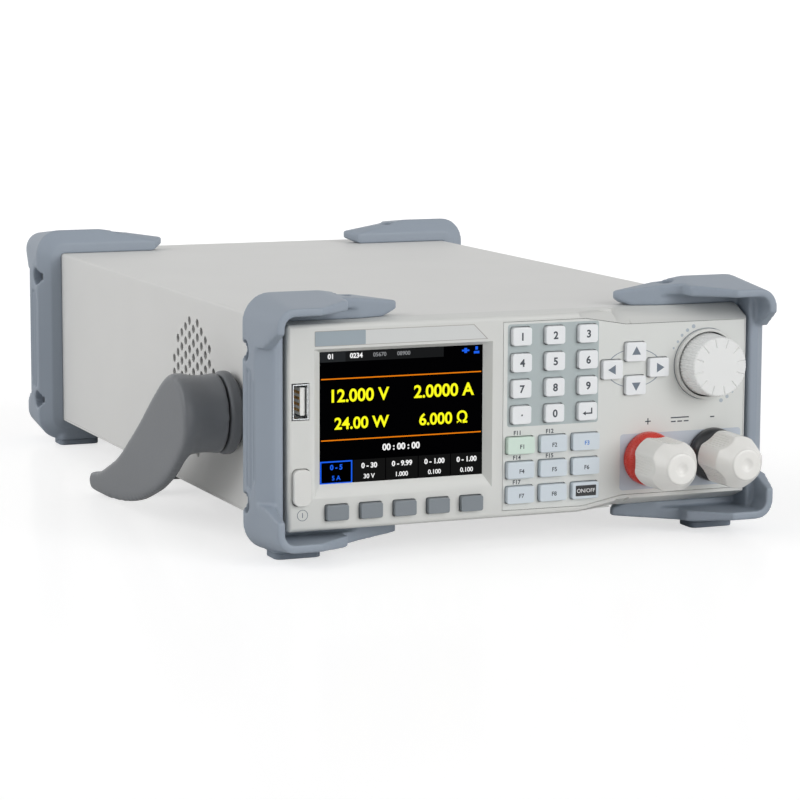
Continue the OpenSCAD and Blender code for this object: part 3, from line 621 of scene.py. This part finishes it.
# the socket's white tongue with its four contacts
usb_x, usb_z = centre_of("usb_port")
panel_plate("usb_tongue", usb_x + 1.2 * MM, usb_z, 1.9, 11.1, 0.3, PANEL_Y + 10 * MM, 8.9, tongue_pbt)
for i, rise in enumerate((-3.5, -1.2, 1.2, 3.5)):
    panel_plate("usb_contact_%d" % (i + 1), usb_x + 0.2 * MM, usb_z + rise * MM, 0.3, 1.1, 0,
                PANEL_Y + 9.5 * MM, 7.6, contact_gold)

# standby sign under the power button
x, z = panel(-95.9, 19.6)
panel_ring("standby_ring", x, z, FACE, 2.15, 0.12, 48)
panel_plate("standby_bar", x, z, 0.3, 2.0, 0, FACE, 0.06, ink_slate)


def label(name, left, right, low, high, point, thick, material):
    """A bare label foil on the panel, in mm; its upper right corner is cut off over the length of point."""
    x, z = panel((left + right) / 2, (low + high) / 2)
    foil = panel_plate(name, x, z, right - left, high - low, 0.35, PANEL_Y, thick, material)
    if point:
        edit_all(foil)
        rise = high - low - 0.9
        bpy.ops.mesh.bisect(plane_co=((right - point) * MM, PANEL_Y, high * MM), plane_no=(rise, 0, point),
                            use_fill=True, clear_outer=True)
        end_edit()


# bare label strip over the display: a pale foil with a pointed end, its cut edge, and a blue-grey field
label("label_edge", -90.7, -14.2, 86.3, 92.4, 8.2, 0.04, label_cut)
label("label_foil", -90.5, -14.5, 86.5, 92.2, 8.1, 0.07, label_clear)
label("label_field", -90.5, -69.2, 86.5, 92.2, 0, 0.1, label_blue)

LCD_X, LCD_Z, GLASS = key_front("display")


def lcd_block(name, x, z, w, h, material, lift=0.0):
    """A lit rectangle on the display, in mm from its middle."""
    panel_plate(name, LCD_X + x * MM, LCD_Z + z * MM, w, h, 0, GLASS - lift * MM, LIT, material)


def lcd_words(name, words, height, x, z, material, bold=0.0, lift=0.06):
    """Lit letters on the display, in mm from its middle."""
    lettering(name, words, height, LCD_X + x * MM, LCD_Z + z * MM, GLASS - lift * MM, material,
              "instrument", bold)


lcd_block("status_bar", -8.5, 24.2, 53, 4.1, lcd_tab)
lcd_block("status_tab", -29.6, 24.2, 10.8, 4.1, lcd_bar, 0.02)
lcd_words("status_word_1", "01", 1.9, -30.6, 24.4, lcd_white, 0.09)
lcd_words("status_word_2", "0234", 1.9, -19.6, 24.4, lcd_white, 0.09)
lcd_words("status_word_3", "05670", 1.6, -9.6, 24.4, lcd_grey, 0.03)
lcd_words("status_word_4", "08900", 1.6, 0.7, 24.4, lcd_grey, 0.03)
lcd_block("status_icon_1", 27.6, 24.2, 3.2, 0.7, lcd_blue, 0.03)
lcd_block("status_icon_2", 27.6, 24.2, 1.2, 2.0, lcd_blue, 0.04)
lcd_block("status_icon_3", 32.4, 23.3, 2.4, 1.0, lcd_blue, 0.03)
lcd_block("status_icon_4", 32.4, 25.0, 1.1, 1.3, lcd_blue, 0.03)
lcd_block("rule_1", 0, 15.4, 69, 0.45, lcd_orange)
lcd_block("rule_2", 0, -9.1, 69, 0.45, lcd_orange)
lcd_words("reading_volts", "12.000 V", 5.0, -17.8, 8.6, lcd_yellow, 0.16)
lcd_words("reading_amps", "2.0000 A", 5.0, 18.3, 8.6, lcd_yellow, 0.16)
lcd_words("reading_watts", "24.00 W", 4.6, -17.2, -2.5, lcd_yellow, 0.15)
lcd_words("reading_ohms", "6.000 Ω", 4.6, 18.0, -2.6, lcd_yellow, 0.15)
lcd_words("reading_clock", "00 : 00 : 00", 2.5, -0.3, -13.0, lcd_white, 0.12)
# the row of cells at the bottom, the first one chosen
CELLS = (("0 - 5", "5 A"), ("0 - 30", "30 V"), ("0 - 9.99", "1.000"), ("0 - 1.00", "0.100"),
         ("0 - 1.00", "0.100"))
for i, (head, words) in enumerate(CELLS):
    cell_x = -28.1 + 14.1 * i
    ink = lcd_blue if i == 0 else lcd_white
    lcd_block("cell_%d" % (i + 1), cell_x, -22.0, 13.7, 9.2, lcd_blue if i == 0 else lcd_cell)
    if i == 0:
        lcd_block("cell_1_fill", cell_x, -22.0, 12.6, 8.1, lcd_black, 0.03)
    lcd_words("cell_head_%d" % (i + 1), head, 2.0, cell_x, -19.9, ink, 0.1, 0.08)
    lcd_words("cell_value_%d" % (i + 1), words, 1.8, cell_x, -24.2, ink, 0.05, 0.08)

# white acrylic floor: a weak, nearly sharp reflection, and a little light of its own for the camera only, so
# that it ends in white
bpy.ops.mesh.primitive_plane_add(size=80, location=(0, 20, 0))
floor = bpy.context.object
floor.name = "floor"
floor_sheet = bpy.data.materials.new("white_acrylic_floor")
floor_sheet.use_nodes = True
floor_tree = floor_sheet.node_tree
floor_shader = floor_tree.nodes["Principled BSDF"]
floor_shader.inputs["Roughness"].default_value = 0.15
floor_shader.inputs["IOR"].default_value = 1.03
floor_shader.inputs["Emission Color"].default_value = (1, 1, 1, 1)
seen = add(floor_tree, "ShaderNodeLightPath").outputs["Is Camera Ray"]
floor_light = number_step(floor_tree, "MULTIPLY", seen, 0.63)
floor_tone = add(floor_tree, "ShaderNodeMix", {"data_type": "RGBA"}, {"Factor": seen})
floor_tone.inputs[6].default_value = linear("#F4F4F4")
floor_tone.inputs[7].default_value = linear("#C4C4C4")
floor_tree.links.new(floor_tone.outputs[2], floor_shader.inputs["Base Color"])
floor_tree.links.new(floor_light, floor_shader.inputs["Emission Strength"])
floor.data.materials.append(floor_sheet)

# white studio, which lights the object less than it shows to the camera and in reflections
world = bpy.data.worlds.new("studio")
scene.world = world
world.use_nodes = True
studio = world.node_tree
background = studio.nodes["Background"]
background.inputs["Color"].default_value = (1, 1, 1, 1)
paths = add(studio, "ShaderNodeLightPath").outputs
either = add(studio, "ShaderNodeMath", {"operation": "MAXIMUM"},
             {0: paths["Is Camera Ray"], 1: paths["Is Glossy Ray"]})
strength = add(studio, "ShaderNodeMapRange", {"To Min": 0.36, "To Max": 1.0}, {"Value": either.outputs[0]})
studio.links.new(strength.outputs["Result"], background.inputs["Strength"])


def sky_lamp(name, place, power, spread):
    """A far, wide lamp that looks at the object from the given side; spread is its width in degrees."""
    bpy.ops.object.light_add(type="SUN", location=place)
    lamp = bpy.context.object
    lamp.name = name
    lamp.data.energy = power
    lamp.data.angle = math.radians(spread)
    lamp.rotation_euler = (-Vector(place)).to_track_quat("-Z", "Y").to_euler()


sky_lamp("front_right", (1.3, -2.5, 1.0), 1.45, 40)
sky_lamp("left_over", (-2.4, 0.4, 1.2), 1.08, 50)

# camera fitted to the photograph's edges: place in mm, Y from the panel, angles in radians, focal length in
# pixels
CAMERA_X, CAMERA_Y, CAMERA_Z = -494.9, -1063.3, 230.2
YAW, PITCH, ROLL = 0.3926912654, 0.1438810491, 0.0035215134
FOCAL_PIXELS, PHOTO_PIXELS, SENSOR = 2926.65, 800, 36
forward = Vector((math.sin(YAW) * math.cos(PITCH), math.cos(YAW) * math.cos(PITCH), -math.sin(PITCH)))
right = Vector((math.cos(YAW), -math.sin(YAW), 0))
up = right.cross(forward)
right, up = right * math.cos(ROLL) + up * math.sin(ROLL), up * math.cos(ROLL) - right * math.sin(ROLL)
bpy.ops.object.camera_add()
camera = bpy.context.object
camera_place = Vector((CAMERA_X * MM, CAMERA_Y * MM + PANEL_Y, CAMERA_Z * MM))
camera.matrix_world = Matrix.Translation(camera_place) @ Matrix((right, up, -forward)).transposed().to_4x4()
camera.data.sensor_width = SENSOR
camera.data.lens = FOCAL_PIXELS / PHOTO_PIXELS * SENSOR
scene.camera = camera
scene.view_settings.view_transform = "Standard"
